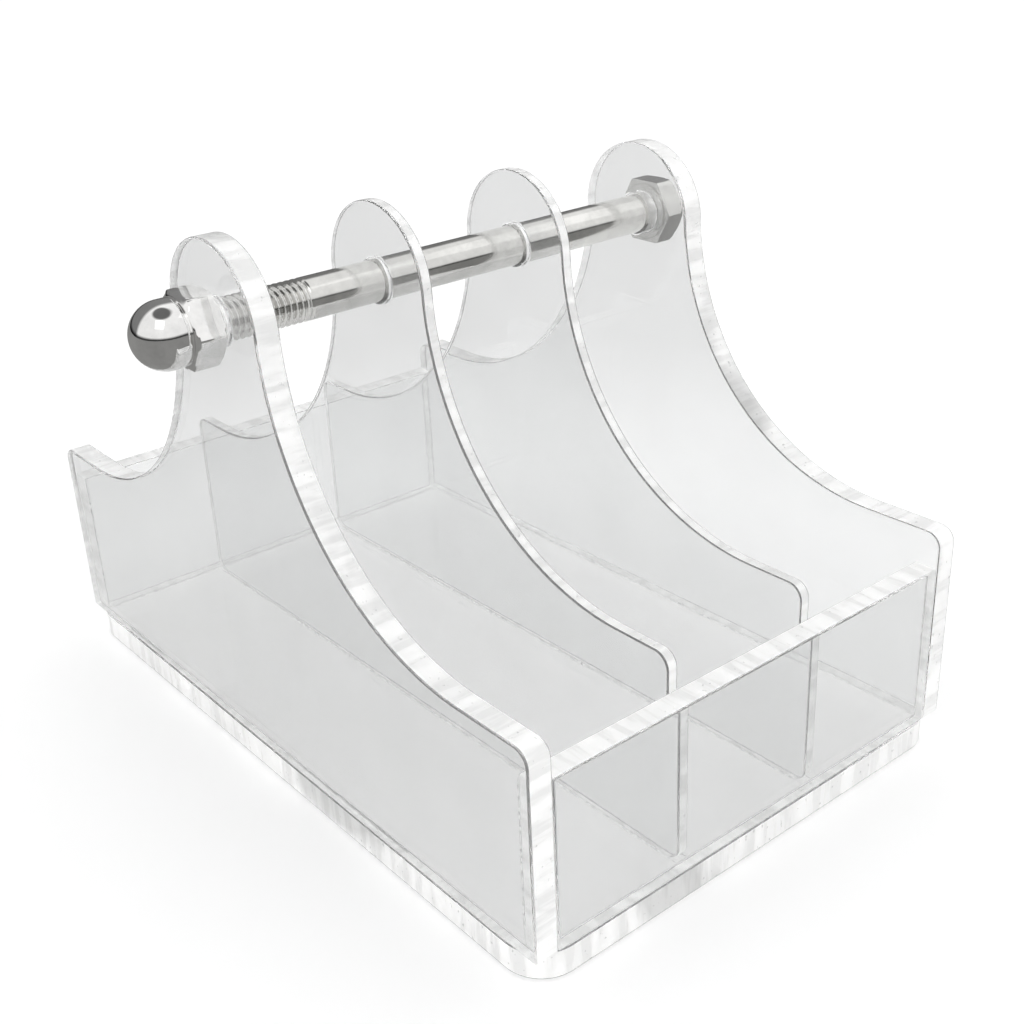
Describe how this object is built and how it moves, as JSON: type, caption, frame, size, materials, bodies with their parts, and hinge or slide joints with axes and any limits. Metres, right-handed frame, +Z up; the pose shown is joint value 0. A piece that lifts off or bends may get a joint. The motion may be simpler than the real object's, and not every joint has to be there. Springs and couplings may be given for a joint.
{
  "type": "three-bay acrylic card rack",
  "caption": "Open-topped clear acrylic card rack: bays between tall rounded fins, crossed at the top by a removable steel bolt with an acorn nut.",
  "frame": {"origin": "centre of the base plate's underside", "axes": "+Z up, -Y towards the front wall, +X along the rod towards the bolt's head"},
  "size_m": [0.1273, 0.164, 0.11],
  "materials": {
    "clear_acrylic": "clear polished acrylic sheet",
    "bolt_steel": "bright zinc plated steel",
    "nut_chrome": "polished"
  },
  "bodies": {
    "rack": {"base_plate": "clear_acrylic", "front_wall": "clear_acrylic", "back_wall": "clear_acrylic", "side_plate_left": "clear_acrylic", "side_plate_right": "clear_acrylic", "divider_left": "clear_acrylic", "divider_right": "clear_acrylic"},
    "bolt": {"hex_bolt": "bolt_steel"},
    "nut": {"acorn_nut": "nut_chrome"}
  },
  "joints": [
    {"name": "bolt_withdraw", "type": "slide", "parent": "rack", "child": "bolt", "axis": [1, 0, 0], "range_m": [0, 0.13]},
    {"name": "nut_unscrew", "type": "slide", "parent": "rack", "child": "nut", "axis": [-1, 0, 0], "range_m": [0, 0.025]}
  ]
}
